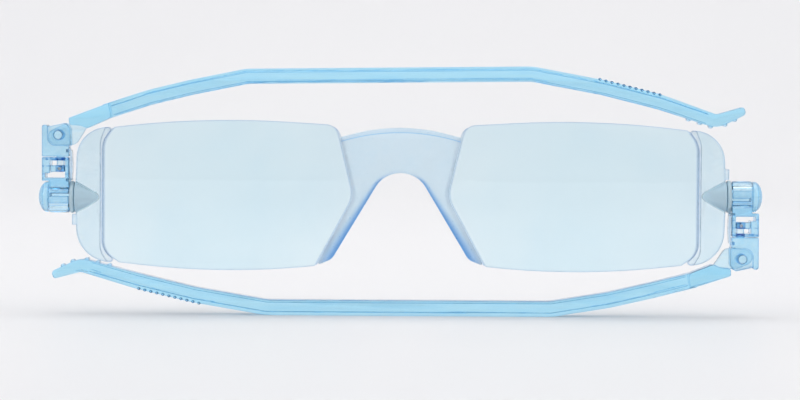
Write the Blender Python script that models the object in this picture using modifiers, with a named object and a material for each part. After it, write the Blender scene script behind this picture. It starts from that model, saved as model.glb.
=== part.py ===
"""Folding reading glasses: two rimless lenses on a moulded bridge, with temples on two-way hinges.

The folded glasses stand on the lower temple. +X is the wearer's left, +Y is the wearer's side (the
back), +Z is up, and the origin is on the ground under the middle. Each hinge is the same assembly,
and the one on the wearer's left is turned by half a turn about Y. A hinge has three motions: the
link swivels about a square axle (X), its yoke slides out a little against a leaf, and the temple
folds about a pin (Y).
"""

import math

import bmesh
import bpy
from mathutils import Matrix, Vector

MM = 0.001

# Front, in mm from the middle of the front (x sideways, z up)
HINGE_X = 66.35
PIVOT_RISE = 12.05
AXIS_STAGGER = 0.4
LENS_TOP = 14.8
LENS_BOTTOM = -14.45
LENS_EDGE_X = 63.1
STRIP_X = 57.6
JOINT_GAP = 0.17
TONGUE_REACH = 0.45
TONGUE_Y = (-0.25, 0.45)
GROOVE_DEPTH = 0.65
GROOVE_Y = (-0.42, 0.62)
LENS_FRONT_Y = -1.3
LENS_BACK_Y = 0.9
LENS_FRONT_RADIUS = 600.0
ENDPIECE_Y = (-1.05, 1.15)
BRIDGE_Y = (-1.6, 1.7)
FLANGE_BACK_Y = 3.0

# Hinge, in mm from the swivel axis under the fold pin (x inward, z along the link)
LINK_X = (-3.09, 2.06)
LINK_DEPTH = 5.0
PLATE_THICKNESS = 0.89
BARREL_RADIUS = 3.05
BARREL_X = (-1.8, 2.06)
AXLE_SIDE = 2.3
AXLE_BORE_RADIUS = 1.85
AXLE_TAIL_RADIUS = 0.5
HEAD_X = (-3.93, -1.95)
HEAD_RADIUS = 2.95
HEAD_DOME = 1.65
SHANK_END_X = 4.25
TAIL_END_X = 5.9
WASHER_X = (2.21, 2.97)
WASHER_CHAMFER = 0.15
LUG_X = (3.12, 7.7)
LUG_RADIUS = 3.1
LUG_END_RADIUS = 0.9
SOCKET_DEPTH = 1.3
TAIL_SOCKET_DEPTH = 3.0
STOP_TAB_X = 63.3
STOP_TAB_RISE = 4.35
SEAM_Z = 7.86
TOP_WALL_Z = (7.1, 7.7)
SLIDER_Z = (4.9, 6.15)
NECK_Z = 3.75
CHAMBER_X = (-1.59, 1.41)
STEM_X = 0.3
STEM_SIDE = 1.4
LEAF_LOW_Z = 3.3
LEAF_HIGH_Z = 9.0
LEAF_THICKNESS = 0.32
LEAF_HALF_DEPTH = 1.3
RETAINER_RADIUS = 0.25
EAR_SLOT = 2.1
PIN_RADIUS = 0.8
PIN_FIT = 0.08
FIT = 0.15

# Temple, in mm from the fold pin (x along the folded temple, z away from the lens)
TONGUE_THICKNESS = 1.7
KNUCKLE_RADIUS = 1.95
ROOT_DEPTH = 4.8
ARM_DEPTH = 4.2
ARM_THICKNESS = 2.9
ARM_START = (9.0, 4.5)
ARM_RUNS = (8.85, 8.3, 11.3, 55.2, 14.2, 11.3, 11.5, 5.8)
ARM_FLAT = 3
ARM_TIP = 7
ARM_WIDTHS = (1.0, 1.0, 1.0, 1.0, 1.0, 1.0, 1.0, 0.86, 0.52)
ARM_RADII = (0, 25.0, 25.0, 9.0, 9.0, 25.0, 25.0, 3.2, 0)
FREE_HEADINGS = (18.4, 14.0, 11.6, 0.8, -10.5, -14.0, -18.5, 22.0)
LOADED_HEADINGS = (16.9, 15.7, 11.9, 2.7, -6.8, -10.6, -12.9, 22.7)
LOADED_TURN = 2.7
NUB_RADIUS = 0.42
NUBS_BEFORE_TIP = (5.3, 3.0, 0.8)
NUBS_ON_TIP = (1.3, 3.4)

LONGEST_CHORD = 4.0
COLLECTION = "folding_reading_glasses"
CUTTERS = "cutters"

SKY = (0.30, 0.66, 0.90, 0.62)
FROST = (0.52, 0.73, 0.90, 0.75)
CLEAR = (0.66, 0.82, 0.90, 0.35)
TINT = (0.72, 0.84, 0.92, 0.30)
STEEL = (0.62, 0.64, 0.67, 1.0)


# ---------------------------------------------------------------- scene helpers

def clear_scene():
    """Remove every object, mesh, curve, material and collection that the file holds."""
    for obj in list(bpy.data.objects):
        bpy.data.objects.remove(obj, do_unlink=True)
    for group in (bpy.data.meshes, bpy.data.curves, bpy.data.materials, bpy.data.collections):
        for item in list(group):
            group.remove(item)


def make_collection(name):
    """A new collection under the scene."""
    collection = bpy.data.collections.new(name)
    bpy.context.scene.collection.children.link(collection)
    return collection


def make_material(name, colour, roughness=0.12, metallic=0.0):
    """A Principled material in the part's own colour."""
    material = bpy.data.materials.new(name)
    material.use_nodes = True
    material.diffuse_color = colour
    shader = material.node_tree.nodes["Principled BSDF"]
    shader.inputs["Base Color"].default_value = colour
    shader.inputs["Roughness"].default_value = roughness
    shader.inputs["Metallic"].default_value = metallic
    shader.inputs["Alpha"].default_value = colour[3]
    return material


def make_empty(name, location, parent=None, half_turn=False):
    """An empty that carries the pieces of one hinge; half_turn turns it about Y."""
    empty = bpy.data.objects.new(name, None)
    empty.empty_display_size = 4 * MM
    empty.location = Vector(location) * MM
    empty.rotation_euler.y = math.pi if half_turn else 0.0
    empty.parent = parent
    bpy.data.collections[COLLECTION].objects.link(empty)
    return empty


def add_object(name, mesh, parent, origin=(0.0, 0.0, 0.0)):
    """Put a mesh built in its parent's frame into an object whose origin is at origin (mm)."""
    offset = Vector(origin) * MM
    mesh.transform(Matrix.Translation(-offset))
    obj = bpy.data.objects.new(name, mesh)
    obj.location = offset
    obj.parent = parent
    bpy.data.collections[COLLECTION].objects.link(obj)
    return obj


def finish_piece(obj, colour, roughness=0.12, metallic=0.0):
    """Give a finished piece its own material and smooth shading."""
    obj.data.materials.append(make_material(obj.name, colour, roughness, metallic))
    obj.data.shade_smooth()
    obj.data.set_sharp_from_angle(angle=math.radians(35))
    return obj


def boolean(obj, tool, operation):
    """Cut, join or intersect obj with tool, which becomes a hidden cutter."""
    modifier = obj.modifiers.new(operation.lower(), "BOOLEAN")
    modifier.operation = operation
    modifier.solver = "EXACT"
    modifier.object = tool
    tool.hide_render = True
    tool.display_type = "WIRE"
    if tool.name not in bpy.data.collections[CUTTERS].objects:
        bpy.data.collections[COLLECTION].objects.unlink(tool)
        bpy.data.collections[CUTTERS].objects.link(tool)


def round_edges(obj, width, segments=2, angle=40):
    """Bevel the edges that turn by more than angle degrees."""
    bevel = obj.modifiers.new("round_edges", "BEVEL")
    bevel.width = width * MM
    bevel.segments = segments
    bevel.limit_method = "ANGLE"
    bevel.angle_limit = math.radians(angle)
    bevel.use_clamp_overlap = True


# ---------------------------------------------------------------- shapes

def corner_reaches(corners):
    """How far each corner's arc reaches along its edges, scaled down where two arcs would meet."""
    count = len(corners)
    points = [Vector(corner[:2]) for corner in corners]
    reaches = []
    for i, (point, corner) in enumerate(zip(points, corners)):
        half = (points[i - 1] - point).angle(points[(i + 1) % count] - point) / 2
        reaches.append(corner[2] / math.tan(half) if half < math.radians(89.9) else 0.0)
    room = []
    for i in range(count):
        length = (points[(i + 1) % count] - points[i]).length
        wanted = reaches[i] + reaches[(i + 1) % count]
        room.append(min(1.0, 0.98 * length / wanted) if wanted else 1.0)
    return [reach * min(room[i - 1], room[i]) for i, reach in enumerate(reaches)]


def rounded_outline(corners, arc_step=14.0):
    """A closed outline in mm through (x, z, radius) corners, with each corner turned into an arc."""
    outline = []
    count = len(corners)
    for i, reach in enumerate(corner_reaches(corners)):
        corner = Vector(corners[i][:2])
        if reach == 0:
            outline.append(corner)
            continue
        to_previous = (Vector(corners[i - 1][:2]) - corner).normalized()
        to_next = (Vector(corners[(i + 1) % count][:2]) - corner).normalized()
        half = to_previous.angle(to_next) / 2
        middle = (to_previous + to_next).normalized()
        centre = corner + middle * (reach / math.cos(half))
        start = corner + to_previous * reach - centre
        turn = start.angle_signed(corner + to_next * reach - centre)
        steps = max(2, math.ceil(abs(math.degrees(turn)) / arc_step),
                    math.ceil(abs(turn) * start.length / LONGEST_CHORD))
        for step in range(steps + 1):
            spoke = start.copy()
            spoke.rotate(Matrix.Rotation(-turn * step / steps, 2))
            outline.append(centre + spoke)
    return outline


def mirrored(corners):
    """The same corners on the other side of x = 0, in the same turning direction."""
    return [(-corner[0],) + tuple(corner[1:]) for corner in reversed(corners)]


def prism(name, outline, y_range, parent, origin=(0.0, 0.0, 0.0)):
    """A flat XZ outline (mm) given thickness from y_range[0] to y_range[1]."""
    curve = bpy.data.curves.new(name, "CURVE")
    curve.dimensions = "2D"
    curve.fill_mode = "BOTH"
    curve.extrude = (y_range[1] - y_range[0]) / 2 * MM
    spline = curve.splines.new("POLY")
    spline.points.add(len(outline) - 1)
    for point, (x, z) in zip(spline.points, outline):
        point.co = (x * MM, z * MM, 0.0, 1.0)
    spline.use_cyclic_u = True
    flat = bpy.data.objects.new(name + "_outline", curve)
    bpy.context.scene.collection.objects.link(flat)
    evaluated = flat.evaluated_get(bpy.context.evaluated_depsgraph_get())
    mesh = bpy.data.meshes.new_from_object(evaluated)
    bpy.data.objects.remove(flat)
    bpy.data.curves.remove(curve)
    weld(mesh)
    middle = Vector((0.0, (y_range[0] + y_range[1]) / 2 * MM, 0.0))
    mesh.transform(Matrix.Translation(middle) @ Matrix.Rotation(math.pi / 2, 4, "X"))
    return add_object(name, mesh, parent, origin)


def weld(mesh):
    """Join the loose caps of a converted curve and point its faces out."""
    shape = bmesh.new()
    shape.from_mesh(mesh)
    bmesh.ops.remove_doubles(shape, verts=shape.verts, dist=0.001 * MM)
    bmesh.ops.recalc_face_normals(shape, faces=shape.faces)
    shape.to_mesh(mesh)
    shape.free()


def box(name, low, high, parent, origin=(0.0, 0.0, 0.0)):
    """A box between two corners, in mm."""
    low = Vector(low) * MM
    size = Vector(high) * MM - low
    shape = bmesh.new()
    bmesh.ops.create_cube(shape, size=1.0, matrix=Matrix.LocRotScale(low + size / 2, None, size))
    mesh = bpy.data.meshes.new(name)
    shape.to_mesh(mesh)
    shape.free()
    return add_object(name, mesh, parent, origin)


def rod(name, start, end, radius, parent, origin=(0.0, 0.0, 0.0), end_radius=None, segments=24):
    """A round rod or cone between two points, in mm."""
    start = Vector(start) * MM
    end = Vector(end) * MM
    run = end - start
    turn = run.to_track_quat("Z", "Y").to_matrix().to_4x4()
    shape = bmesh.new()
    bmesh.ops.create_cone(
        shape, cap_ends=True, segments=segments, depth=run.length, radius1=radius * MM,
        radius2=(radius if end_radius is None else end_radius) * MM,
        matrix=Matrix.Translation(start + run / 2) @ turn)
    mesh = bpy.data.meshes.new(name)
    shape.to_mesh(mesh)
    shape.free()
    return add_object(name, mesh, parent, origin)


def turned(name, profile, axis, parent, origin=(0.0, 0.0, 0.0), closed=False, steps=32):
    """A turned piece: (radius, height) points in mm, top first, spun about the axis."""
    mesh = bpy.data.meshes.new(name)
    edges = [(i, i + 1) for i in range(len(profile) - 1)]
    if closed:
        edges.append((len(profile) - 1, 0))
    mesh.from_pydata([(radius * MM, 0.0, height * MM) for radius, height in profile], edges, [])
    obj = add_object(name, mesh, parent)
    obj.location = Vector(origin) * MM
    obj.rotation_euler = Vector(axis).to_track_quat("Z", "Y").to_euler()
    screw = obj.modifiers.new("turn", "SCREW")
    screw.axis = "Z"
    screw.angle = 2 * math.pi
    screw.steps = steps
    screw.render_steps = steps
    screw.use_merge_vertices = True
    screw.merge_threshold = 0.002 * MM
    screw.use_smooth_shade = True
    return obj


# ---------------------------------------------------------------- front: lenses, endpieces, bridge

def strip_line(shift):
    """The edge between a lens and its endpiece, from the bottom up, moved outward by shift."""
    return [(54.6 + shift, LENS_BOTTOM + 1.4, 0), (STRIP_X + shift, -10.9, 4.0),
            (STRIP_X + shift, 10.6, 5.0), (55.6 + shift, LENS_TOP - 1.55, 0)]


def lens_outline(side, inner_shift=0.0, outer_shift=0.0, trim=0.0):
    """The lens's outline on one side; side is 1 for +x and -1 for -x."""
    top_inner = (12.7 + inner_shift, LENS_TOP - 0.9 - trim, 2.4)
    top_middle = (38.5, LENS_TOP + 0.62 - trim, 260.0)
    bottom_middle = (33.5, LENS_BOTTOM - 0.8 + trim, 260.0)
    bottom_inner = (16.6 + inner_shift, LENS_BOTTOM + 0.95 + trim, 0.5)
    corners = [top_inner, (11.95 + inner_shift, 11.3, 0.0), (9.25 + inner_shift, 0.0, 5.0),
               bottom_inner, bottom_middle]
    corners += [(x, min(max(z, LENS_BOTTOM + 1.4 + trim), LENS_TOP - 1.55 - trim), radius)
                for x, z, radius in strip_line(outer_shift)]
    corners += [top_middle]
    if side < 0:
        corners = mirrored(corners)
    return rounded_outline(corners, 8.0)


def lens_blank(name, side, parent):
    """The turned blank that a lens is edged from: a domed front and a flat back."""
    rim = 34.0
    rings = 4
    profile = []
    for ring in range(rings + 1):
        radius = rim * ring / rings
        profile.append((radius, -LENS_FRONT_Y - radius ** 2 / (2 * LENS_FRONT_RADIUS)))
    profile.append((rim, -LENS_BACK_Y))
    profile.append((0.0, -LENS_BACK_Y))
    return turned(name, profile, (0, -1, 0), parent, origin=(side * 34.5, 0, 0), steps=32)


def make_lens(side, name, front):
    """A thin lens whose inner and outer edges carry a tongue for the bridge and the endpiece."""
    lens = prism("lens_" + name, lens_outline(side), (-2.0, 2.0), front)
    boolean(lens, lens_blank("lens_blank_" + name, side, front), "INTERSECT")
    tongue = prism("lens_tongue_" + name,
                   lens_outline(side, -TONGUE_REACH, TONGUE_REACH, trim=0.25), TONGUE_Y, front)
    boolean(lens, tongue, "UNION")
    return finish_piece(lens, TINT, 0.03)


def make_endpiece(side, name, front, axis_z):
    """The clear strip at a lens's outer end, with a cone-shaped lug for the axle."""
    gap = JOINT_GAP
    corners = [(x + gap, z, radius or 0.5) for x, z, radius in reversed(strip_line(0.0))]
    corners += [(62.7, -12.72, 6.6), (LENS_EDGE_X + 0.05, 0.0, 60.0), (62.7, 13.0, 6.0)]
    if side < 0:
        corners = mirrored(corners)
    endpiece = prism("endpiece_" + name, rounded_outline(corners, 8.0), ENDPIECE_Y, front)
    round_edges(endpiece, 0.2, 1)
    lug = rod("lug_" + name, (side * (HINGE_X - LUG_X[0]), 0, axis_z),
              (side * (HINGE_X - LUG_X[1]), 0, axis_z), LUG_RADIUS, front,
              end_radius=LUG_END_RADIUS, segments=32)
    round_edges(lug, 0.3)
    boolean(endpiece, lug, "UNION")
    tab = box("stop_tab_" + name, (-0.45, -1.0, -1.0), (0.45, 1.0, 1.0), front)
    tab.location = Vector((side * STOP_TAB_X, 0.05, axis_z + side * STOP_TAB_RISE)) * MM
    boolean(endpiece, tab, "UNION")
    groove_depth = GROOVE_DEPTH + gap
    groove = [(x + groove_depth, z, radius) for x, z, radius in reversed(strip_line(0.0))]
    groove[0] = (groove[0][0], LENS_TOP + 1.0, 0)
    groove[-1] = (groove[-1][0], LENS_BOTTOM - 1.0, 0)
    groove += [(50.0, LENS_BOTTOM - 1.0, 0), (50.0, LENS_TOP + 1.0, 0)]
    if side < 0:
        groove = mirrored(groove)
    cutter = prism("endpiece_groove_" + name, rounded_outline(groove, 8.0), GROOVE_Y, front)
    boolean(endpiece, cutter, "DIFFERENCE")
    socket_side = AXLE_SIDE / 2 + FIT
    socket = box("axle_socket_" + name, (-SOCKET_DEPTH, -socket_side, -socket_side),
                 (SOCKET_DEPTH, socket_side, socket_side), front)
    socket.location = Vector((side * (HINGE_X - LUG_X[0]), 0, axis_z)) * MM
    boolean(endpiece, socket, "DIFFERENCE")
    tail = rod("tail_socket_" + name, (side * (HINGE_X - LUG_X[0]), 0, axis_z),
               (side * (HINGE_X - LUG_X[0] - TAIL_SOCKET_DEPTH), 0, axis_z),
               AXLE_TAIL_RADIUS + FIT, front)
    boolean(endpiece, tail, "DIFFERENCE")
    return finish_piece(endpiece, CLEAR, 0.1)


def bridge_outline():
    """The bridge: an arched top, two joints to the lenses and the nose arch between two legs."""
    right = [(6.1, 12.95, 25.0), (11.95 - JOINT_GAP, 11.5, 0.3), (9.25 - JOINT_GAP, 0.0, 5.0),
             (16.45 - JOINT_GAP, -13.35, 0.3), (13.25, -12.1, 2.5)]
    return rounded_outline([(0.0, 13.5, 25.0)] + right + [(0.0, 10.1, 5.7)] + mirrored(right), 10.0)


def nose_flange(side, front):
    """The wider rim along one side of the nose arch, thickest at the bottom of the leg."""
    corners = [(3.9, 3.5, 0), (13.25, -12.1, 2.5), (15.7, -13.1, 0.2), (15.15, -11.7, 0.5),
               (9.3, -3.3, 12.0), (5.6, 2.4, 0)]
    if side < 0:
        corners = mirrored(corners)
    return prism("nose_flange", rounded_outline(corners, 10.0), (-1.0, FLANGE_BACK_Y), front)


def make_bridge(front):
    """The bridge with its nose flanges and the two grooves that hold the lenses."""
    bridge = prism("bridge", bridge_outline(), BRIDGE_Y, front)
    round_edges(bridge, 0.5)
    for side in (-1, 1):
        boolean(bridge, nose_flange(side, front), "UNION")
    for side in (-1, 1):
        depth = -(GROOVE_DEPTH + JOINT_GAP)
        groove = [(12.6 + depth, 14.0, 0), (9.25 + depth, 0.0, 5.0), (16.9 + depth, -14.6, 0),
                  (30.0, -14.6, 0), (30.0, 14.0, 0)]
        if side < 0:
            groove = mirrored(groove)
        cutter = prism("bridge_groove", rounded_outline(groove, 8.0), GROOVE_Y, front)
        boolean(bridge, cutter, "DIFFERENCE")
    return finish_piece(bridge, FROST, 0.35)


# ---------------------------------------------------------------- hinge

def make_axle(name, axis):
    """The swivel axle: a domed head, a square shank for the four click positions and a thin tail."""
    head = []
    steps = 8
    for step in range(steps + 1):
        angle = math.pi / 2 * step / steps
        head.append((HEAD_RADIUS * math.sin(angle),
                     -HEAD_X[0] - HEAD_DOME * (1 - math.cos(angle))))
    head += [(HEAD_RADIUS, -HEAD_X[1]), (AXLE_TAIL_RADIUS, -HEAD_X[1]),
             (AXLE_TAIL_RADIUS, -TAIL_END_X), (0.0, -TAIL_END_X)]
    axle = turned("swivel_axle_" + name, head, (-1, 0, 0), axis)
    half = AXLE_SIDE / 2
    shank = box("axle_shank_" + name, (HEAD_X[1] - 0.2, -half, -half),
                (SHANK_END_X, half, half), axis)
    round_edges(shank, 0.2)
    boolean(axle, shank, "UNION")
    return finish_piece(axle, SKY)


def make_washer(name, axis):
    """The clear washer between the barrel and the endpiece's lug."""
    inner = AXLE_BORE_RADIUS
    top, bottom = WASHER_X
    flat = LUG_RADIUS - WASHER_CHAMFER
    profile = [(inner, -top), (flat, -top), (LUG_RADIUS, -top - WASHER_CHAMFER),
               (LUG_RADIUS, -bottom + WASHER_CHAMFER), (flat, -bottom), (inner, -bottom)]
    washer = turned("swivel_washer_" + name, profile, (-1, 0, 0), axis, closed=True)
    return finish_piece(washer, CLEAR)


def make_carrier(name, axis):
    """The lower half of the link: the swivel barrel, the neck and the frame that guides the yoke."""
    half = LINK_DEPTH / 2
    frame = [(LINK_X[0], 3.2, 0.15), (LINK_X[0], TOP_WALL_Z[1], 0.15),
             (LINK_X[1], TOP_WALL_Z[1], 0.15), (LINK_X[1], 0.0, 0), (BARREL_X[0], 0.0, 0),
             (BARREL_X[0], 3.2, 0)]
    carrier = prism("hinge_carrier_" + name, rounded_outline(frame), (-half, half), axis)
    round_edges(carrier, 0.25)
    barrel = rod("barrel_" + name, (BARREL_X[0], 0, 0), (BARREL_X[1], 0, 0), BARREL_RADIUS, axis,
                 segments=40)
    round_edges(barrel, 0.25)
    boolean(carrier, barrel, "UNION")
    bore = rod("axle_bore_" + name, (-4, 0, 0), (4, 0, 0), AXLE_BORE_RADIUS, axis, segments=32)
    boolean(carrier, bore, "DIFFERENCE")
    slit = box("barrel_slit_" + name, (BARREL_X[0] + 0.4, -4.0, 0.25), (4.0, 0.0, 0.72), axis)
    boolean(carrier, slit, "DIFFERENCE")
    chamber = [(CHAMBER_X[0], TOP_WALL_Z[0], 0.2), (CHAMBER_X[1], TOP_WALL_Z[0], 0.2),
               (CHAMBER_X[1], NECK_Z, 0.2), (CHAMBER_X[0] - 0.9, NECK_Z, 0.2),
               (CHAMBER_X[0] - 0.9, SLIDER_Z[0] - 0.25, 0.1),
               (CHAMBER_X[0], SLIDER_Z[0] - 0.25, 0.1)]
    window = prism("chamber_" + name, rounded_outline(chamber, 30.0), (-4, 4), axis)
    boolean(carrier, window, "DIFFERENCE")
    guide = STEM_SIDE / 2 + FIT
    hole = box("stem_hole_" + name, (STEM_X - guide, -guide, TOP_WALL_Z[0] - 0.5),
               (STEM_X + guide, guide, TOP_WALL_Z[1] + 0.5), axis)
    boolean(carrier, hole, "DIFFERENCE")
    boolean(carrier, leaf_pocket(name + "_low", LEAF_LOW_Z, axis), "DIFFERENCE")
    return finish_piece(carrier, SKY)


def leaf_pocket(name, z, axis):
    """The pocket that takes one hooked end of the flex leaf."""
    reach = LEAF_THICKNESS / 2 + FIT
    half = LEAF_HALF_DEPTH + FIT
    return box("leaf_pocket_" + name, (LINK_X[1] - 0.6, -half, z - reach),
               (LINK_X[1] + 1.0, half, z + reach), axis)


def make_leaf(name, axis):
    """The thin arched leaf on the lens side, which pulls the yoke back to the carrier."""
    hook = LINK_X[1] - 0.4
    foot = LINK_X[1] + 0.28
    crown = (LINK_X[1] + 0.58, (LEAF_LOW_Z + LEAF_HIGH_Z) / 2)
    path = [(hook, LEAF_LOW_Z), (foot, LEAF_LOW_Z), crown, (foot, LEAF_HIGH_Z),
            (hook, LEAF_HIGH_Z)]
    t = LEAF_THICKNESS / 2
    outer = [(path[0][0], path[0][1] - t, 0), (path[1][0] + t, path[1][1] - t, 0.3),
             (crown[0] + t, crown[1], 20.0), (path[3][0] + t, path[3][1] + t, 0.3),
             (path[4][0], path[4][1] + t, 0)]
    inner = [(path[4][0], path[4][1] - t, 0), (path[3][0] - t, path[3][1] - t, 0.1),
             (crown[0] - t, crown[1], 20.0), (path[1][0] - t, path[1][1] + t, 0.1),
             (path[0][0], path[0][1] + t, 0)]
    leaf = prism("flex_leaf_" + name, rounded_outline(outer + inner, 20.0),
                 (-LEAF_HALF_DEPTH, LEAF_HALF_DEPTH), axis)
    return finish_piece(leaf, CLEAR)


def make_yoke(name, axis):
    """The upper half of the link: outer plate, two ears round the temple's tongue, and the stem."""
    half = LINK_DEPTH / 2
    top = PIVOT_RISE
    plate_in = LINK_X[0] + PLATE_THICKNESS
    outline = [(LINK_X[0], SEAM_Z, 0.15), (LINK_X[0], top + 1.95, 0.4), (plate_in, top + 1.95, 0.3),
               (plate_in + 0.15, top + 1.55, 0.3), (1.45, top + 2.35, 0.5), (2.3, top + 1.2, 0.6),
               (2.35, top - 1.9, 0.4), (LINK_X[1], top - 2.3, 0.3), (LINK_X[1], SEAM_Z, 0.15)]
    yoke = prism("hinge_yoke_" + name, rounded_outline(outline), (-half, half), axis,
                 origin=(0, 0, SEAM_Z))
    round_edges(yoke, 0.25)
    floor = top - KNUCKLE_RADIUS - 0.2
    slot = [(plate_in + 0.02, floor, 1.7), (4.0, floor, 0), (4.0, top + 5.0, 0),
            (plate_in + 0.02, top + 5.0, 0)]
    cutter = prism("ear_slot_" + name, rounded_outline(slot), (-EAR_SLOT / 2, EAR_SLOT / 2), axis)
    boolean(yoke, cutter, "DIFFERENCE")
    bore = rod("ear_bore_" + name, (0, -4, top), (0, 4, top), PIN_RADIUS + PIN_FIT, axis)
    boolean(yoke, bore, "DIFFERENCE")
    side = STEM_SIDE / 2
    stem = box("stem_" + name, (STEM_X - side, -side, SLIDER_Z[0] + 0.2),
               (STEM_X + side, side, SEAM_Z + 0.3), axis)
    boolean(yoke, stem, "UNION")
    boolean(yoke, retainer_hole(name + "_stem", axis), "DIFFERENCE")
    boolean(yoke, leaf_pocket(name + "_high", LEAF_HIGH_Z, axis), "DIFFERENCE")
    return finish_piece(yoke, SKY)


def retainer_hole(name, axis):
    """The cross hole for the retainer pin."""
    z = sum(SLIDER_Z) / 2
    return rod("retainer_hole_" + name, (STEM_X, -4, z), (STEM_X, 4, z), RETAINER_RADIUS + 0.1,
               axis, segments=16)


def make_slider(name, axis):
    """The block pinned to the stem's end inside the carrier's window."""
    half = LINK_DEPTH / 2 - 0.1
    slider = box("slider_block_" + name, (CHAMBER_X[0] + FIT, -half, SLIDER_Z[0]),
                 (CHAMBER_X[1] - FIT, half, SLIDER_Z[1]), axis, origin=(0, 0, SEAM_Z))
    round_edges(slider, 0.15)
    socket = STEM_SIDE / 2 + FIT
    hole = box("stem_socket_" + name, (STEM_X - socket, -socket, SLIDER_Z[0] - 1),
               (STEM_X + socket, socket, SLIDER_Z[1] + 1), axis)
    boolean(slider, hole, "DIFFERENCE")
    boolean(slider, retainer_hole(name + "_slider", axis), "DIFFERENCE")
    return finish_piece(slider, SKY)


def make_retainer(name, axis):
    """The small steel pin that holds the slider block on the stem."""
    half = LINK_DEPTH / 2 - 0.1
    z = sum(SLIDER_Z) / 2
    pin = rod("retainer_pin_" + name, (STEM_X, -half, z), (STEM_X, half, z), RETAINER_RADIUS, axis,
              origin=(0, 0, SEAM_Z), segments=16)
    return finish_piece(pin, STEEL, 0.3, 1.0)


def make_pin(name, axis):
    """The fold pin through both ears and the temple's knuckle."""
    half = LINK_DEPTH / 2 - 0.05
    pin = rod("fold_pin_" + name, (0, -half, PIVOT_RISE), (0, half, PIVOT_RISE), PIN_RADIUS, axis,
              origin=(0, 0, PIVOT_RISE), segments=28)
    round_edges(pin, 0.12)
    return finish_piece(pin, CLEAR, 0.08)


# ---------------------------------------------------------------- temple

def arm_path(headings):
    """The arm's centre line, as (x, z) corners from the root to the tip."""
    corner = Vector(ARM_START)
    path = [corner.copy()]
    for run, heading in zip(ARM_RUNS, headings):
        angle = math.radians(heading)
        corner += run * Vector((math.cos(angle), math.sin(angle)))
        path.append(corner.copy())
    return path


def arm_outline(path):
    """The arm's outline round its centre line: even along its length and narrower at the tip."""
    half = ARM_THICKNESS / 2
    above = []
    below = []
    for i, (corner, width, radius) in enumerate(zip(path, ARM_WIDTHS, ARM_RADII)):
        before = (corner - path[i - 1]).normalized() if i else (path[1] - corner).normalized()
        after = (path[i + 1] - corner).normalized() if i + 1 < len(path) else before
        along = (before + after).normalized()
        normal = Vector((-along.y, along.x)) * width * half / along.dot(before)
        swing = half if before.cross(after) < 0 else -half
        above.append((*(corner + normal), radius + swing if radius else 0))
        below.append((*(corner - normal), radius - swing if radius else 0))
    above[-1] = (*above[-1][:2], 0.35 * half)
    below[-1] = (*below[-1][:2], 0.55 * half)
    return rounded_outline(above + below[::-1], 8.0)


def make_temple(name, axis, headings, turn):
    """One temple: a thin tongue in the yoke, a deeper root block, and the bent arm with grip nubs."""
    path = arm_path(headings)
    half = ARM_DEPTH / 2
    temple = prism("temple_" + name, arm_outline(path), (-half, half), axis)
    temple.location = Vector((0, 0, PIVOT_RISE)) * MM
    temple.rotation_euler.y = math.radians(turn)
    round_edges(temple, 0.75, 2, 50)
    root = [(2.2, 2.05, 0.2), (4.2, 1.9, 0), (5.65, 1.35, 0.2), (10.3, 3.42, 1.0), (9.7, 6.2, 0),
            (2.05, 3.3, 0.3)]
    block = prism("temple_root_" + name, rounded_outline(root), (-ROOT_DEPTH / 2, ROOT_DEPTH / 2),
                  temple)
    round_edges(block, 0.3)
    boolean(temple, block, "UNION")
    tongue = [(-KNUCKLE_RADIUS, -KNUCKLE_RADIUS, 1.93), (3.3, -KNUCKLE_RADIUS, 1.6),
              (5.4, 1.5, 0), (5.0, 3.0, 0), (2.2, 3.0, 0), (2.2, 2.0, 0.3),
              (1.0, KNUCKLE_RADIUS, 0.5), (-KNUCKLE_RADIUS, 0.6, 1.7)]
    web = prism("temple_tongue_" + name, rounded_outline(tongue, 10.0),
                (-TONGUE_THICKNESS / 2, TONGUE_THICKNESS / 2), temple)
    boolean(temple, web, "UNION")
    bore = rod("temple_bore_" + name, (0, -4, 0), (0, 4, 0), PIN_RADIUS + PIN_FIT, temple)
    boolean(temple, bore, "DIFFERENCE")
    boolean(temple, grip_nubs(name, path, temple), "UNION")
    return finish_piece(temple, SKY)


def grip_nubs(name, path, temple):
    """Five small cross ribs on the lens side of the arm near its tip, as one cutter object."""
    shape = bmesh.new()
    half = ARM_THICKNESS / 2
    bend = path[ARM_TIP]
    flank = (bend - path[ARM_TIP - 1]).normalized()
    tip = (path[ARM_TIP + 1] - bend).normalized()
    places = [bend - flank * back + Vector((flank.y, -flank.x)) * half * (0.86 + 0.012 * back)
              for back in NUBS_BEFORE_TIP]
    places += [bend + tip * ahead + Vector((tip.y, -tip.x)) * half * (0.86 - 0.059 * ahead)
               for ahead in NUBS_ON_TIP]
    across = Matrix.Rotation(math.pi / 2, 4, "X")
    for x, z in places:
        bmesh.ops.create_cone(
            shape, cap_ends=True, segments=12, depth=2.6 * MM, radius1=NUB_RADIUS * MM,
            radius2=NUB_RADIUS * MM, matrix=Matrix.Translation((x * MM, 0.0, z * MM)) @ across)
    mesh = bpy.data.meshes.new("grip_nubs_" + name)
    shape.to_mesh(mesh)
    shape.free()
    return add_object("grip_nubs_" + name, mesh, temple)


# ---------------------------------------------------------------- assembly

def front_height():
    """The height of the front's middle when the loaded temple lies flat on the ground."""
    turn = math.radians(LOADED_TURN)
    corner = arm_path(LOADED_HEADINGS)[ARM_FLAT]
    drop = -corner.x * math.sin(turn) + corner.y * math.cos(turn)
    return drop + ARM_THICKNESS / 2 + PIVOT_RISE - AXIS_STAGGER


def make_hinge(name, axis, headings, turn):
    """Every piece of one hinge and its temple, in the hinge's own frame."""
    make_axle(name, axis)
    make_washer(name, axis)
    make_carrier(name, axis)
    make_leaf(name, axis)
    make_yoke(name, axis)
    make_slider(name, axis)
    make_retainer(name, axis)
    make_pin(name, axis)
    make_temple(name, axis, headings, turn)


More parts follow.
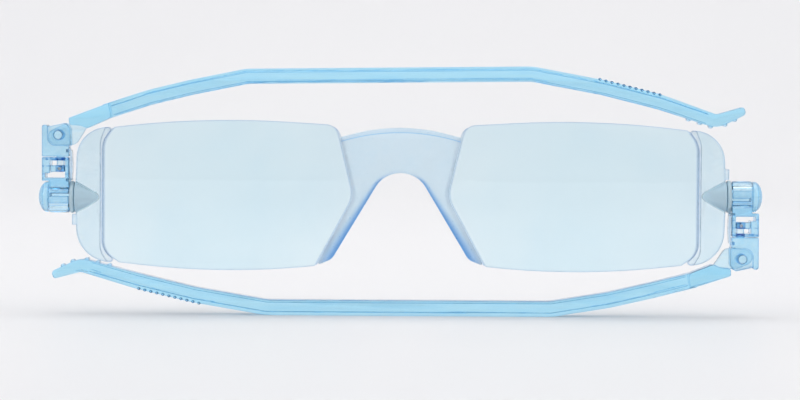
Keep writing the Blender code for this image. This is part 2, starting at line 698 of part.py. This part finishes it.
def main():
    """Build the whole object."""
    clear_scene()
    make_collection(COLLECTION)
    make_collection(CUTTERS)
    front = make_empty("front", (0.0, 0.0, front_height()))
    make_bridge(front)
    for side, name in ((-1, "right"), (1, "left")):
        make_lens(side, name, front)
        axis_z = side * AXIS_STAGGER
        make_endpiece(side, name, front, axis_z)
        axis = make_empty("hinge_axis_" + name, (side * HINGE_X, 0.0, axis_z), front, side > 0)
        if side < 0:
            make_hinge(name, axis, FREE_HEADINGS, 0.0)
        else:
            make_hinge(name, axis, LOADED_HEADINGS, LOADED_TURN)


main()
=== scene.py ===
"""Folding reading glasses in clear blue plastic, standing folded on a pale studio floor."""
import math

import bmesh
import bpy
from mathutils import Matrix, Vector


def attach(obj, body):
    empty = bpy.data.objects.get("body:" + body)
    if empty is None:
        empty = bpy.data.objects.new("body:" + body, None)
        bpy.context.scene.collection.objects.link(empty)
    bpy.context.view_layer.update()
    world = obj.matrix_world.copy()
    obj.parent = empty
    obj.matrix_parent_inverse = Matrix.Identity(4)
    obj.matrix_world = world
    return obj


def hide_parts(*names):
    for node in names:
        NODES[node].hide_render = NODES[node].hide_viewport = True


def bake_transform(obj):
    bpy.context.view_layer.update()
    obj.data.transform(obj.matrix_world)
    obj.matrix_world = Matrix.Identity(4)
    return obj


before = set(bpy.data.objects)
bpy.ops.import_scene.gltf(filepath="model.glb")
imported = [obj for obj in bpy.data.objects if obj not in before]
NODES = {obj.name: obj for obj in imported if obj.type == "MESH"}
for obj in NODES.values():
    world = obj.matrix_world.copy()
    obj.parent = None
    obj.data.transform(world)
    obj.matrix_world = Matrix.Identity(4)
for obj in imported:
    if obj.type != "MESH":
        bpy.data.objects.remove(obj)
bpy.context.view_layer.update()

MM = 0.001

# The right hinge stands as written below, and the left one is turned half a turn about Y
SIDES = {"right": 1, "left": -1}

# The camera: a long lens, nearly level, and turned by the small roll the glasses are seen with
VIEW_WIDTH = 155.5 * MM
VIEW_CENTRE = Vector((-0.1 * MM, 0.0, 22.4 * MM))
CAMERA_LENS = 140.0
CAMERA_SENSOR = 36.0
CAMERA_RISE = math.radians(2.0)
CAMERA_ROLL = math.radians(0.36)
CAMERA_CLIP = (0.01, 20.0)

# How much light each millimetre of a plastic takes out, as (red, green, blue)
SKY_LOSS = (0.172, 0.042, 0.0)
HINGE_LOSS = (0.118, 0.034, 0.001)
LENS_LOSS = (0.112, 0.025, 0.001)
CLEAR_LOSS = (0.115, 0.036, 0.008)
SHADE_LINE_LOSS = (4.0, 1.1, 0.1)
RIB_LOSS = (0.32, 0.09, 0.004)
FROST_LOSS = (0.085, 0.030, 0.004)

# What the plastics share: the surface colour where it is clear, the spans that noise, the painted
# rim shade and the painted edge shade fade over, and the relief that the flow and the fine grain
# give
PLASTIC_IOR = 1.49
CLEAR_COLOUR = (0.985, 0.992, 1.0)
FLOW_SPAN = (0.35, 0.7)
FLOW_DEPTH = 0.15 * MM
FINE_SCALE = 2600.0
FINE_SPAN = (0.3, 0.75)
FINE_RANGE = (0.8, 1.3)
FINE_STRENGTH = 0.05
FINE_DEPTH = 0.01 * MM
RIM_SHADE_SPAN = (0.25, 0.92)
EDGE_SPAN = (0.88, 0.99)
DEEPEST_SHARE = 0.98

# Cloudy plastic: its colour, and what it adds to roughness and takes from transmission
CLOUD_COLOUR = (0.70, 0.90, 1.0)
CLOUD_ROUGHNESS = 0.4
CLOUD_SHARE = 0.7

STEEL_SHADES = ((0.50, 0.53, 0.57), (0.72, 0.74, 0.77))
PAPER_SHADES = ((0.795, 0.79, 0.802), (0.815, 0.81, 0.817))

# The front, in metres: the height of its middle, and how far the swivel axes lie from it
FRONT_Z = 23.016 * MM
AXIS_STAGGER = 0.4 * MM

# The lug cones: the tip's x and radius, how fast the radius grows, and where the cloud fades
CONE_TIP = (58.65 * MM, 0.9 * MM)
CONE_SLOPE = 0.4835
CONE_FADE = (0.1 * MM, 0.3 * MM)
CONE_START = (-0.3 * MM, 0.0)

# The nose arch, from the front's middle: a round top and the slant of its straight sides
ARCH_CENTRE_Z = -1.02 * MM
ARCH_RADIUS = 5.7 * MM
ARCH_SIDE = (0.859, 0.5126)

# The painted shade beside the arch, a blue that deepens towards the nose side of the legs: its
# width from low to high, and how it weakens above the legs
LEG_SHADE_BLUE = (0.14, 0.38, 0.78)
LEG_HEIGHTS = (-13.0 * MM, 5.0 * MM)
LEG_WIDTHS = (2.1 * MM, 0.85 * MM)
CROWN_HEIGHTS = (2.6 * MM, 4.8 * MM)
CROWN_SHARE = 0.12

# The bridge's top edge, and the band that follows it at a distance below
TOP_Z = 13.36 * MM
TOP_CURVE = 13.0
BAND_BLUE = (0.42, 0.64, 0.90)
BAND_DISTANCE = 0.87 * MM
BAND_FADE = (0.03 * MM, 0.16 * MM)

# The temples, in mm and degrees: the fold pins (x, z), each arm's path with the headings that
# its runs stand at, how far it rests turned in, and half its height
FOLD_PINS = {"right": (-66.35, 34.666), "left": (66.35, 11.366)}
ARM_START = (9.0, 4.5)
ARM_RUNS = (8.85, 8.3, 11.3, 55.2, 14.2, 11.3, 11.5)
ARM_HEADINGS = {"right": (18.4, 14.0, 11.6, 0.8, -10.5, -14.0, -18.5),
                "left": (16.9, 15.7, 11.9, 2.7, -6.8, -10.6, -12.9)}
ARM_TURN = {"right": 0.0, "left": 2.7}
ARM_HALF = 1.45

# The cross ribs, in mm: the run of the path they start from, their pitch and their size
RIB_RUN = 5
RIB_COUNT = 11
RIB_FIRST = -1.2
RIB_PITCH = 1.2
RIB_RADIUS = 0.3
RIB_LENGTH = 2.9
RIB_SINK = 0.08
RIB_ROUNDING = 0.1

# The painted shade lines, dark wires along the arms' rounded edges, in mm: the arm's face, the
# lines on it, and how far from the ends they stop
ARM_FACE = 2.1
LINE_OFFSETS = (0.74, -1.05)
LINE_RADIUS = 0.06
LINE_MARGINS = (1.5, 2.0)

# Lines across a link, in mm: (distance from the swivel axis, half width, strength)
LINK_LINES = ((7.35, 0.22, 0.95), (6.0, 0.14, 0.6), (4.45, 0.16, 0.75), (1.9, 0.16, 0.6))
LINK_BLUE = (0.06, 0.30, 0.66)

# The noise that breaks those lines up: its scale, its span and the strengths it gives
BREAK_SCALE = 1500.0
BREAK_SPAN = (0.44, 0.56)
BREAK_SHARE = (0.25, 1.0)

# The bluer neck of a link, as one of the lines above
NECK_BAND = (2.8, 0.8, 0.55)
NECK_BLUE = (0.45, 0.74, 0.94)

# Smooth shading: the sharpest edge that is smoothed, and the distance that joins vertices
SMOOTH_ANGLE = math.radians(32.0)
WELD_DISTANCE = 0.002 * MM

# The studio, in metres: a floor that bends up into a backdrop
FLOOR_HALF_WIDTH = 1.6
FLOOR_FRONT = -1.4
FLOOR_BACK = 1.1
FLOOR_BEND = 0.5
FLOOR_HEIGHT = 1.8
FLOOR_STEPS = 24

# The lights: (place, target, size, power)
GLASSES = (0.0, 0.0, 0.02)
LIGHTS = {
    "top_light": ((0.0, 0.1, 1.3), GLASSES, (1.6, 1.2), 8.2),
    "left_light": ((-1.1, -0.7, 0.8), GLASSES, (0.5, 0.9), 3.0),
    "right_light": ((1.1, -0.6, 0.7), GLASSES, (0.5, 0.9), 2.3),
    "back_light": ((0.0, 0.2, 1.2), (0.0, 1.1, 0.4), (1.8, 0.6), 3.5),
}

# The room's air: its colour, and its strength from the level of the floor to well above it
AIR_COLOUR = (0.97, 0.98, 1.0)
AIR_HEIGHTS = (-0.1, 0.6)
AIR_STRENGTH = (0.11, 0.65)


# ---------------------------------------------------------------- node helpers

class Graph:
    """Short names for adding nodes to one material or world."""

    def __init__(self, tree):
        self.tree = tree
        tree.nodes.clear()

    def add(self, kind, **settings):
        """A new node with the given settings."""
        node = self.tree.nodes.new(kind)
        for key, value in settings.items():
            setattr(node, key, value)
        return node

    def link(self, source, target):
        """Join an output socket to an input socket."""
        self.tree.links.new(source, target)

    def feed(self, socket, value):
        """Give an input socket a value, or link it to an output socket."""
        if isinstance(value, bpy.types.NodeSocket):
            self.link(value, socket)
        else:
            socket.default_value = value

    def math(self, operation, first, second=0.0):
        """The result of one Math node."""
        node = self.add("ShaderNodeMath", operation=operation)
        for socket, value in zip(node.inputs, (first, second)):
            self.feed(socket, value)
        return node.outputs[0]

    def length(self, first, second):
        """The length of a two-part vector."""
        squares = [self.math("MULTIPLY", part, part) for part in (first, second)]
        return self.math("SQRT", self.math("ADD", *squares))

    def apart(self, first, second):
        """How far apart two values are."""
        return self.math("ABSOLUTE", self.math("SUBTRACT", first, second))

    def ramp(self, value, low, high, start, end):
        """A smooth step from start to end while value goes from low to high."""
        node = self.add("ShaderNodeMapRange", interpolation_type="SMOOTHSTEP")
        for name, item in (("Value", value), ("From Min", low), ("From Max", high),
                           ("To Min", start), ("To Max", end)):
            self.feed(node.inputs[name], item)
        return node.outputs[0]

    def mix(self, factor, first, second):
        """A mix of two colours, each a socket or (red, green, blue)."""
        node = self.add("ShaderNodeMix", data_type="RGBA")
        self.feed(node.inputs[0], factor)
        for socket, colour in zip(node.inputs[6:8], (first, second)):
            self.feed(socket, (*colour, 1.0) if isinstance(colour, tuple) else colour)
        return node.outputs[2]

    def place(self, scale):
        """Object-space position in metres, stretched by scale."""
        coords = self.add("ShaderNodeTexCoord")
        mapping = self.add("ShaderNodeMapping")
        mapping.inputs["Scale"].default_value = scale
        self.link(coords.outputs["Object"], mapping.inputs["Vector"])
        return mapping.outputs[0]

    def noise(self, scale, detail=2.0, stretch=(1.0, 1.0, 1.0), distortion=0.0):
        """Noise that is fixed to the resting object."""
        node = self.add("ShaderNodeTexNoise")
        self.link(self.place(stretch), node.inputs["Vector"])
        node.inputs["Scale"].default_value = scale
        node.inputs["Detail"].default_value = detail
        node.inputs["Distortion"].default_value = distortion
        return node.outputs[0]

    def edges(self, width):
        """1 on the sharp edges, fading out within about a third of width (mm)."""
        rounded = self.add("ShaderNodeBevel", samples=4)
        rounded.inputs["Radius"].default_value = width * MM
        surface = self.add("ShaderNodeNewGeometry")
        likeness = self.add("ShaderNodeVectorMath", operation="DOT_PRODUCT")
        self.link(rounded.outputs[0], likeness.inputs[0])
        self.link(surface.outputs["Normal"], likeness.inputs[1])
        return self.ramp(likeness.outputs["Value"], *EDGE_SPAN, 1.0, 0.0)

    def bump(self, height, strength, distance, normal=None):
        """A normal with relief of the given height, on top of another normal if there is one."""
        node = self.add("ShaderNodeBump")
        node.inputs["Strength"].default_value = strength
        node.inputs["Distance"].default_value = distance
        self.link(height, node.inputs["Height"])
        if normal is not None:
            self.link(normal, node.inputs["Normal"])
        return node.outputs[0]

    def output(self, surface, volume=None):
        """Connect a material's shaders to its output."""
        node = self.add("ShaderNodeOutputMaterial")
        self.link(surface.outputs[0], node.inputs["Surface"])
        if volume is not None:
            self.link(volume.outputs[0], node.inputs["Volume"])


def new_graph(name):
    """A new material and its empty graph."""
    material = bpy.data.materials.new(name)
    material.use_nodes = True
    return material, Graph(material.node_tree)


def plastic(name, loss, roughness, wave, wave_scale, stretch=(1.0, 1.0, 1.0), tone=None,
            cloud=None, haze=0.0, veil=(0.93, 0.965, 0.99), rim_shade=(0.55, 0.75, 0.92),
            line=(0.45, 0.66, 0.88), line_width=0.3):
    """Moulded clear plastic: coloured by its depth, with painted shade darkening its rims and
    edge lines.
    """
    material, graph = new_graph(name)
    shader = graph.add("ShaderNodeBsdfPrincipled")
    shader.inputs["IOR"].default_value = PLASTIC_IOR
    shader.inputs["Transmission Weight"].default_value = 1.0
    flow = graph.noise(wave_scale, 3.0, stretch, 0.3)
    fine = graph.noise(FINE_SCALE)
    colour = graph.mix(graph.ramp(flow, *FLOW_SPAN, 0.0, 1.0), CLEAR_COLOUR, veil)
    # Painted shade at the rims: faces seen edge-on are darkened towards the rim colour
    facing = graph.add("ShaderNodeLayerWeight").outputs["Facing"]
    colour = graph.mix(graph.ramp(facing, *RIM_SHADE_SPAN, 0.0, 1.0), colour, rim_shade)
    # Painted shade along the sharp edges, darkened towards the line colour
    colour = graph.mix(graph.edges(line_width), colour, line)
    if tone is not None:
        colour = tone(graph, colour)
    rough = graph.ramp(fine, *FINE_SPAN, *(roughness * part for part in FINE_RANGE))
    if cloud is not None:
        mask = cloud(graph)
        colour = graph.mix(mask, colour, CLOUD_COLOUR)
        rough = graph.math("ADD", rough, graph.math("MULTIPLY", mask, CLOUD_ROUGHNESS))
        clear = graph.math("SUBTRACT", 1.0, graph.math("MULTIPLY", mask, CLOUD_SHARE))
        graph.link(clear, shader.inputs["Transmission Weight"])
    graph.link(colour, shader.inputs["Base Color"])
    graph.link(rough, shader.inputs["Roughness"])
    normal = graph.bump(flow, wave, FLOW_DEPTH)
    normal = graph.bump(fine, FINE_STRENGTH + haze, FINE_DEPTH, normal)
    graph.link(normal, shader.inputs["Normal"])
    strongest = max(loss)
    volume = graph.add("ShaderNodeVolumeAbsorption")
    kept = (1 - DEEPEST_SHARE * part / strongest for part in loss)
    volume.inputs["Color"].default_value = (*kept, 1.0)
    volume.inputs["Density"].default_value = strongest / DEEPEST_SHARE / MM
    graph.output(shader, volume)
    return material


def position(graph):
    """The (x, y, z) sockets of the resting position, in metres."""
    split = graph.add("ShaderNodeSeparateXYZ")
    graph.link(graph.place((1.0, 1.0, 1.0)), split.inputs[0])
    return split.outputs


def lug_cloud(graph):
    """1 on the cone-shaped lugs of the endpieces, which are cloudier than the strips."""
    x, y, z = position(graph)
    side = graph.math("SIGN", x)
    rise = graph.math("SUBTRACT", graph.math("SUBTRACT", z, FRONT_Z),
                      graph.math("MULTIPLY", side, AXIS_STAGGER))
    spread = graph.length(rise, y)
    tip_x, tip_radius = CONE_TIP
    along = graph.math("SUBTRACT", graph.math("ABSOLUTE", x), tip_x)
    reach = graph.math("ADD", graph.math("MULTIPLY", along, CONE_SLOPE), tip_radius)
    inside = graph.ramp(graph.math("SUBTRACT", spread, reach), *CONE_FADE, 1.0, 0.0)
    ahead = graph.ramp(along, *CONE_START, 0.0, 1.0)
    return graph.math("MULTIPLY", inside, ahead)


def arch_distance(graph, across, rise):
    """Metres from the nose arch's edge: a round top between two straight sides."""
    level = graph.math("SUBTRACT", rise, ARCH_CENTRE_Z)
    side_x, side_z = ARCH_SIDE
    line = graph.math("ADD", graph.math("MULTIPLY", across, side_x),
                      graph.math("MULTIPLY", level, side_z))
    line = graph.math("SUBTRACT", line, ARCH_RADIUS)
    arc = graph.math("SUBTRACT", graph.length(across, level), ARCH_RADIUS)
    above = graph.math("GREATER_THAN", graph.math("MULTIPLY", level, side_x),
                       graph.math("MULTIPLY", across, side_z))
    return graph.math("ADD", graph.math("MULTIPLY", arc, above),
                      graph.math("MULTIPLY", line, graph.math("SUBTRACT", 1.0, above)))


def bridge_band_and_leg_shade(graph, colour):
    """The bridge's top band, and painted shade: a blue that deepens towards the nose side of the
    legs.
    """
    x, _, z = position(graph)
    across = graph.math("ABSOLUTE", x)
    rise = graph.math("SUBTRACT", z, FRONT_Z)
    distance = arch_distance(graph, across, rise)
    share = graph.math("DIVIDE", distance, graph.ramp(rise, *LEG_HEIGHTS, *LEG_WIDTHS))
    # Painted shade, deepest at the arch's edge on the nose side of the legs
    leg_shade = graph.math("MULTIPLY", graph.ramp(share, 0.0, 1.0, 1.0, 0.0),
                      graph.ramp(rise, *CROWN_HEIGHTS, 1.0, CROWN_SHARE))
    colour = graph.mix(leg_shade, colour, LEG_SHADE_BLUE)
    curve = graph.math("MULTIPLY", graph.math("MULTIPLY", across, across), TOP_CURVE)
    below = graph.math("SUBTRACT", graph.math("SUBTRACT", TOP_Z, curve), rise)
    off = graph.apart(below, BAND_DISTANCE)
    return graph.mix(graph.ramp(off, *BAND_FADE, 1.0, 0.0), colour, BAND_BLUE)


def band(graph, height, level, half, strength, core):
    """A band across a link, at full strength over the core share of its half width."""
    off = graph.apart(height, level * MM)
    return graph.ramp(off, half * core * MM, half * MM, strength, 0.0)


def link_tone(graph, colour):
    """Bands across the links: dark lines near the slider, broken up by noise, and a bluer neck.
    """
    x, _, z = position(graph)
    side = graph.math("SIGN", x)
    height = graph.math("SUBTRACT", AXIS_STAGGER,
                        graph.math("MULTIPLY", side, graph.math("SUBTRACT", z, FRONT_Z)))
    broken = graph.ramp(graph.noise(BREAK_SCALE, 1.0), *BREAK_SPAN, *BREAK_SHARE)
    for link_line in LINK_LINES:
        line = band(graph, height, *link_line, core=0.5)
        colour = graph.mix(graph.math("MULTIPLY", line, broken), colour, LINK_BLUE)
    return graph.mix(band(graph, height, *NECK_BAND, core=0.8), colour, NECK_BLUE)


def steel(name):
    """Drawn steel wire with fine lengthwise lines."""
    material, graph = new_graph(name)
    shader = graph.add("ShaderNodeBsdfPrincipled")
    shader.inputs["Metallic"].default_value = 1.0
    lines = graph.noise(9000.0, 3.0, (1.0, 0.05, 1.0))
    graph.link(graph.mix(lines, *STEEL_SHADES), shader.inputs["Base Color"])
    graph.link(graph.ramp(lines, 0.3, 0.7, 0.18, 0.34), shader.inputs["Roughness"])
    graph.link(graph.bump(lines, 0.2, FINE_DEPTH), shader.inputs["Normal"])
    graph.output(shader)
    return material


# ---------------------------------------------------------------- smooth shading of the CAD nodes

def shading_group():
    """A geometry group that smooths every face and keeps the edges past SMOOTH_ANGLE sharp."""
    group = bpy.data.node_groups.new("smooth_by_angle", "GeometryNodeTree")
    group.interface.new_socket("Geometry", in_out="INPUT", socket_type="NodeSocketGeometry")
    group.interface.new_socket("Geometry", in_out="OUTPUT", socket_type="NodeSocketGeometry")
    start = group.nodes.new("NodeGroupInput")
    end = group.nodes.new("NodeGroupOutput")
    faces = group.nodes.new("GeometryNodeSetShadeSmooth")
    faces.domain = "FACE"
    edges = group.nodes.new("GeometryNodeSetShadeSmooth")
    edges.domain = "EDGE"
    angle = group.nodes.new("GeometryNodeInputMeshEdgeAngle")
    gentle = group.nodes.new("FunctionNodeCompare")
    gentle.operation = "LESS_THAN"
    gentle.inputs["B"].default_value = SMOOTH_ANGLE
    group.links.new(angle.outputs["Unsigned Angle"], gentle.inputs["A"])
    group.links.new(start.outputs[0], faces.inputs["Geometry"])
    group.links.new(faces.outputs[0], edges.inputs["Geometry"])
    group.links.new(gentle.outputs[0], edges.inputs["Shade Smooth"])
    group.links.new(edges.outputs[0], end.inputs[0])
    return group


def smooth(obj, group):
    """Shade a CAD node by edge angle, with its loose triangles joined by a modifier."""
    mesh = obj.data
    for name in ("custom_normal", "sharp_face", "sharp_edge"):
        if name in mesh.attributes:
            mesh.attributes.remove(mesh.attributes[name])
    weld = obj.modifiers.new("join_faces", "WELD")
    weld.merge_threshold = WELD_DISTANCE
    modifier = obj.modifiers.new("smooth_by_angle", "NODES")
    modifier.node_group = group


# ---------------------------------------------------------------- looks of the pieces

def dress_nodes():
    """Give each CAD node its own material."""
    group = shading_group()
    # Each look's rim and line colours are painted shade for its silhouettes and sharp edges
    arm = plastic("sky_plastic_arm", SKY_LOSS, 0.06, 0.35, 900.0, (0.1, 1.0, 1.0),
                  veil=(0.86, 0.94, 1.0), rim_shade=(0.08, 0.36, 0.76), line=(0.30, 0.58, 0.86))
    hinge = plastic("sky_plastic_hinge", HINGE_LOSS, 0.05, 0.2, 900.0, veil=(0.84, 0.93, 0.98),
                    rim_shade=(0.16, 0.48, 0.84), line=(0.16, 0.46, 0.80), line_width=0.4,
                    tone=link_tone)
    clear = plastic("clear_plastic_moulded", CLEAR_LOSS, 0.05, 0.12, 500.0, cloud=lug_cloud,
                    line=(0.52, 0.64, 0.84), line_width=0.45)
    lens = plastic("tinted_lens_polished", LENS_LOSS, 0.015, 0.02, 60.0,
                   line=(0.55, 0.66, 0.84), line_width=0.45)
    frost = plastic("frosted_plastic", FROST_LOSS, 0.34, 0.1, 300.0, haze=0.25, tone=bridge_band_and_leg_shade,
                    line=(0.72, 0.84, 0.95))
    pin = steel("bright_steel")
    looks = {"lens": lens, "bridge": frost, "temple": arm, "endpiece": clear,
             "swivel_washer": clear, "flex_leaf": clear, "fold_pin": clear, "retainer_pin": pin}
    for name, obj in NODES.items():
        look = next((look for start, look in looks.items() if name.startswith(start)), hinge)
        obj.data.materials.clear()
        obj.data.materials.append(look)
        smooth(obj, group)


def add_object(name, data):
    """A new object in the scene."""
    obj = bpy.data.objects.new(name, data)
    bpy.context.scene.collection.objects.link(obj)
    return obj


def mesh_from(shape, name):
    """A mesh made from a bmesh, which is freed."""
    mesh = bpy.data.meshes.new(name)
    shape.to_mesh(mesh)
    shape.free()
    return mesh


def make_spring_leaf(name):
    """One side's flex leaf as a baked copy with its shading group, in place of the hidden CAD
    node.
    """
    node = NODES["flex_leaf_" + name]
    leaf = add_object("spring_leaf_" + name, node.data.copy())
    for modifier in node.modifiers:
        if modifier.type == "NODES":
            leaf.modifiers.new(modifier.name, "NODES").node_group = modifier.node_group
    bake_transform(leaf)
    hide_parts(node.name)


def arm_point(name, run, ahead, out):
    """A world point beside an arm: ahead along one of its runs and out from its centre line."""
    corner = Vector(ARM_START)
    headings = [math.radians(angle) for angle in ARM_HEADINGS[name]]
    for i in range(run):
        corner += ARM_RUNS[i] * Vector((math.cos(headings[i]), math.sin(headings[i])))
    along = Vector((math.cos(headings[run]), math.sin(headings[run])))
    spot = corner + along * ahead + Vector((-along.y, along.x)) * out
    turn = math.radians(ARM_TURN[name])
    x = spot.x * math.cos(turn) + spot.y * math.sin(turn)
    z = spot.y * math.cos(turn) - spot.x * math.sin(turn)
    side = SIDES[name]
    pin_x, pin_z = FOLD_PINS[name]
    return Vector((pin_x + side * x, 0.0, pin_z + side * z)) * MM


def make_ribs(name, look):
    """The row of small cross ribs on the outer face of one arm."""
    shape = bmesh.new()
    across = Matrix.Rotation(math.pi / 2, 4, "X")
    for i in range(RIB_COUNT):
        place = arm_point(name, RIB_RUN, RIB_FIRST + i * RIB_PITCH, ARM_HALF - RIB_SINK)
        bmesh.ops.create_cone(shape, cap_ends=True, segments=16, depth=RIB_LENGTH * MM,
                              radius1=RIB_RADIUS * MM, radius2=RIB_RADIUS * MM,
                              matrix=Matrix.Translation(place) @ across)
    mesh = mesh_from(shape, "outer_ribs_" + name)
    ribs = add_object("outer_ribs_" + name, mesh)
    bevel = ribs.modifiers.new("round_ends", "BEVEL")
    bevel.width = RIB_ROUNDING * MM
    bevel.limit_method = "ANGLE"
    mesh.materials.append(look)
    mesh.shade_smooth()
    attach(ribs, "temple_" + name)


def make_painted_shade_lines(name, look):
    """Painted shade lines: fine raised dark wires along both faces of one arm, near its outer and
    inner edges.
    """
    curve = bpy.data.curves.new("painted_shade_lines_" + name, "CURVE")
    curve.dimensions = "3D"
    curve.bevel_depth = LINE_RADIUS * MM
    curve.bevel_resolution = 1
    curve.use_fill_caps = True
    root_margin, tip_margin = LINE_MARGINS
    for face in (-ARM_FACE, ARM_FACE):
        for out in LINE_OFFSETS:
            spots = [arm_point(name, 0, root_margin, out)]
            spots += [arm_point(name, run, 0.0, out) for run in range(1, len(ARM_RUNS))]
            spots.append(arm_point(name, len(ARM_RUNS) - 1, ARM_RUNS[-1] - tip_margin, out))
            spline = curve.splines.new("POLY")
            spline.points.add(len(spots) - 1)
            for point, spot in zip(spline.points, spots):
                point.co = (spot.x, face * MM, spot.z, 1.0)
    curve.materials.append(look)
    lines = add_object("painted_shade_lines_" + name, curve)
    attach(lines, "temple_" + name)


# ---------------------------------------------------------------- studio

def pale_paper():
    """Matt paper with a faint mottle; its outer side can be seen through."""
    material, graph = new_graph("pale_paper")
    shader = graph.add("ShaderNodeBsdfPrincipled")
    shader.inputs["Specular IOR Level"].default_value = 0.3
    shader.inputs["Roughness"].default_value = 0.45
    mottle = graph.noise(6.0, 3.0)
    graph.link(graph.mix(mottle, *PAPER_SHADES), shader.inputs["Base Color"])
    grain = graph.noise(900.0)
    graph.link(graph.bump(grain, 0.05, 0.05 * MM), shader.inputs["Normal"])
    one_way = graph.add("ShaderNodeMixShader")
    graph.link(graph.add("ShaderNodeNewGeometry").outputs["Backfacing"], one_way.inputs[0])
    graph.link(shader.outputs[0], one_way.inputs[1])
    graph.link(graph.add("ShaderNodeBsdfTransparent").outputs[0], one_way.inputs[2])
    graph.output(one_way)
    return material


def make_studio():
    """A pale floor that curves up behind the glasses."""
    bend_start = FLOOR_BACK - FLOOR_BEND
    profile = [(FLOOR_FRONT, 0.0), (bend_start, 0.0)]
    for step in range(1, FLOOR_STEPS + 1):
        angle = math.pi / 2 * step / FLOOR_STEPS
        profile.append((bend_start + FLOOR_BEND * math.sin(angle),
                        FLOOR_BEND * (1 - math.cos(angle))))
    profile.append((FLOOR_BACK, FLOOR_HEIGHT))
    shape = bmesh.new()
    rows = [[shape.verts.new((x, y, z)) for y, z in profile]
            for x in (-FLOOR_HALF_WIDTH, FLOOR_HALF_WIDTH)]
    for i in range(len(profile) - 1):
        face = shape.faces.new((rows[0][i], rows[1][i], rows[1][i + 1], rows[0][i + 1]))
        face.smooth = True
    floor = add_object("studio_floor", mesh_from(shape, "studio_floor"))
    floor.data.materials.append(pale_paper())


def soft_box(name, place, target, size, power):
    """A rectangular studio light aimed at a point."""
    light = bpy.data.lights.new(name, "AREA")
    light.shape = "RECTANGLE"
    light.size, light.size_y = size
    light.energy = power
    obj = add_object(name, light)
    obj.location = place
    obj.rotation_euler = (Vector(target) - Vector(place)).to_track_quat("-Z", "Y").to_euler()


def make_lights():
    """Soft light from above, the sides and onto the backdrop, in air that is dimmer low down."""
    for name, (place, target, size, power) in LIGHTS.items():
        soft_box(name, place, target, size, power)
    world = bpy.data.worlds.new("studio_air")
    bpy.context.scene.world = world
    world.use_nodes = True
    graph = Graph(world.node_tree)
    coords = graph.add("ShaderNodeTexCoord")
    split = graph.add("ShaderNodeSeparateXYZ")
    graph.link(coords.outputs["Generated"], split.inputs[0])
    strength = graph.ramp(split.outputs["Z"], *AIR_HEIGHTS, *AIR_STRENGTH)
    background = graph.add("ShaderNodeBackground")
    background.inputs["Color"].default_value = (*AIR_COLOUR, 1.0)
    graph.link(strength, background.inputs["Strength"])
    output = graph.add("ShaderNodeOutputWorld")
    graph.link(background.outputs[0], output.inputs["Surface"])


def make_camera():
    """The scene's camera, at the photograph's viewing angle."""
    camera = bpy.data.cameras.new("camera")
    camera.lens = CAMERA_LENS
    camera.sensor_width = CAMERA_SENSOR
    distance = VIEW_WIDTH * CAMERA_LENS / CAMERA_SENSOR
    obj = add_object("camera", camera)
    aim = Matrix.Rotation(math.pi / 2 - CAMERA_RISE, 4, "X")
    back = aim.to_3x3() @ Vector((0.0, 0.0, 1.0))
    obj.matrix_world = (Matrix.Translation(VIEW_CENTRE + back * distance) @ aim
                        @ Matrix.Rotation(CAMERA_ROLL, 4, "Z"))
    camera.clip_start, camera.clip_end = CAMERA_CLIP
    bpy.context.scene.camera = obj


# ---------------------------------------------------------------- the scene

dress_nodes()
# A dark blue plastic for the painted shade lines along the arms
shade_line_plastic = plastic("painted_shade_line_plastic", SHADE_LINE_LOSS, 0.15, 0.1, 1500.0,
                       veil=(0.72, 0.86, 0.97), line=(0.5, 0.72, 0.92))
rib_plastic = plastic("sky_plastic_ribs", RIB_LOSS, 0.1, 0.1, 1500.0, veil=(0.8, 0.9, 0.98),
                      rim_shade=(0.4, 0.66, 0.9), line=(0.5, 0.72, 0.92))
for side_name in SIDES:
    make_ribs(side_name, rib_plastic)
    make_painted_shade_lines(side_name, shade_line_plastic)
    make_spring_leaf(side_name)
make_studio()
make_lights()
make_camera()
bpy.context.scene.view_settings.view_transform = "Standard"
bpy.context.scene.view_settings.exposure = 0.0
